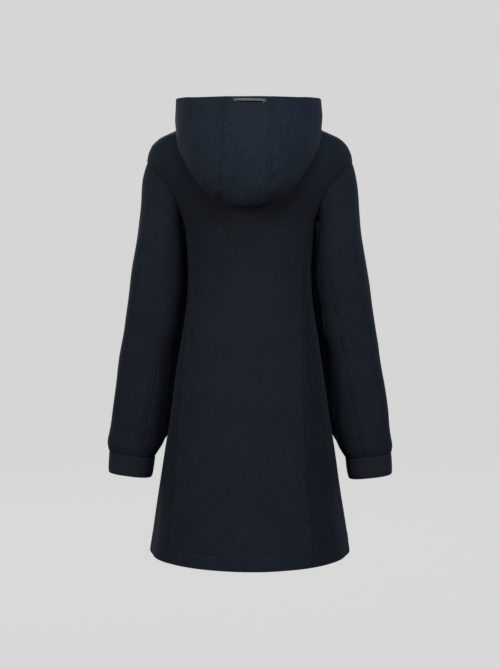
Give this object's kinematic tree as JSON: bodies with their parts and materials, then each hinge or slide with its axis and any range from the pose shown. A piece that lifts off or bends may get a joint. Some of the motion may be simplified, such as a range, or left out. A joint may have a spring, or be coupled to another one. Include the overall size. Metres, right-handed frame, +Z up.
{
  "type": "knee-length hooded fleece jacket",
  "caption": "Hollow knee-length fleece coat, filled out as if worn, with a soft hood lying down, long sleeves, rib cuffs and a front zip.",
  "frame": {"origin": "middle of the neck seam, level with the seam at the back of the neck", "axes": "+Z up the body, -Y out of the front, +X to the wearer's left"},
  "size_m": [0.56, 0.345, 0.8775],
  "materials": {
    "fleece": "dark blue-grey fleece with a short nap",
    "rib": "dark blue-grey rib knit",
    "tape": "grey woven tape",
    "zip_tape": "black woven zip tape",
    "zip_teeth": "black moulded teeth",
    "zip_metal": "dark satin metal"
  },
  "bodies": {
    "coat": {"back_panel": "fleece", "front_panel_left": "fleece", "front_panel_right": "fleece", "side_panel_left": "fleece", "side_panel_right": "fleece", "upper_sleeve_left": "fleece", "upper_sleeve_right": "fleece", "under_sleeve_left": "fleece", "under_sleeve_right": "fleece", "cuff_left": "rib", "cuff_right": "rib", "hood_centre": "fleece", "hood_side_left": "fleece", "hood_side_right": "fleece", "hanging_loop": "tape", "zip_tape_left": "zip_tape", "zip_tape_right": "zip_tape", "zip_chain": "zip_teeth", "zip_slider": "zip_metal"},
    "pull_tab": {"zip_pull": "zip_metal"}
  },
  "joints": [
    {"name": "pull_tab_swing", "type": "hinge", "parent": "coat", "child": "pull_tab", "pos_m": [0, -0.07437, 0.00093], "axis": [-1, 0, 0], "range_deg": [-6, 150]}
  ]
}
